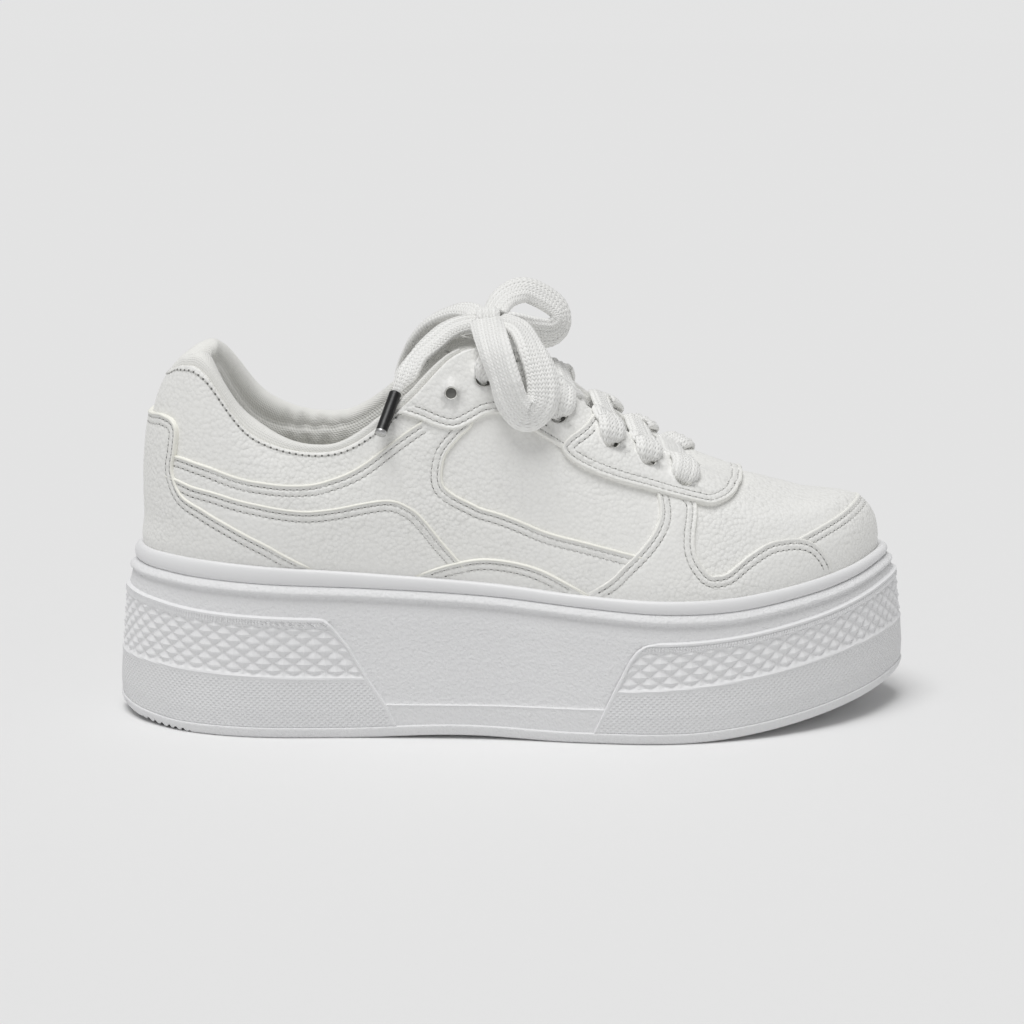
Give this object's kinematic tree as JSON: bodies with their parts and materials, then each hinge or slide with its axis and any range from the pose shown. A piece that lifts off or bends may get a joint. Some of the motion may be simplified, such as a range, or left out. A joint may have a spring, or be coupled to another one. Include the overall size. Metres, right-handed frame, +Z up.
{
  "type": "platform sneaker",
  "caption": "Low lace-up platform sneaker for the right foot: thick textured cup sole, padded collar, hollow leather upper, flat lace tied in a bow",
  "frame": {"origin": "on the ground, in the middle of the shoe's length and width without its bow", "axes": "+X towards the toe, +Y towards the inner side of the foot, +Z up; the shoe stands on the plane Z = 0"},
  "size_m": [0.2852, 0.1028, 0.1529],
  "materials": {
    "sole_rubber": "matt moulded white rubber, finely grained, with raised diamonds on the panels",
    "leather": "warm white tumbled leather with a low sheen and double stitching",
    "lining_textile": "light warm grey knitted lining",
    "lace": "flat braided white lace",
    "aglet": "glossy black tube with a pale tip"
  },
  "bodies": {
    "root": {"outsole": "sole_rubber", "midsole": "sole_rubber", "heel_panel": "sole_rubber", "toe_panel": "sole_rubber", "welt": "sole_rubber", "insole": "lining_textile", "upper": "leather", "heel_counter": "leather", "toe_cap": "leather", "eyestay_front": "leather", "eyestay_lateral": "leather", "eyestay_medial": "leather", "collar_padding": "lining_textile", "tongue": "lining_textile", "lace_bar": "lace", "lace_crossing_1": "lace", "lace_crossing_2": "lace", "lace_crossing_3": "lace", "lace_crossing_4": "lace", "lace_crossing_5": "lace", "knot": "lace", "loop_lateral": "lace", "loop_medial": "lace", "lace_end_lateral": "lace", "lace_end_medial": "lace", "aglet_lateral": "aglet", "aglet_medial": "aglet"}
  },
  "joints": []
}
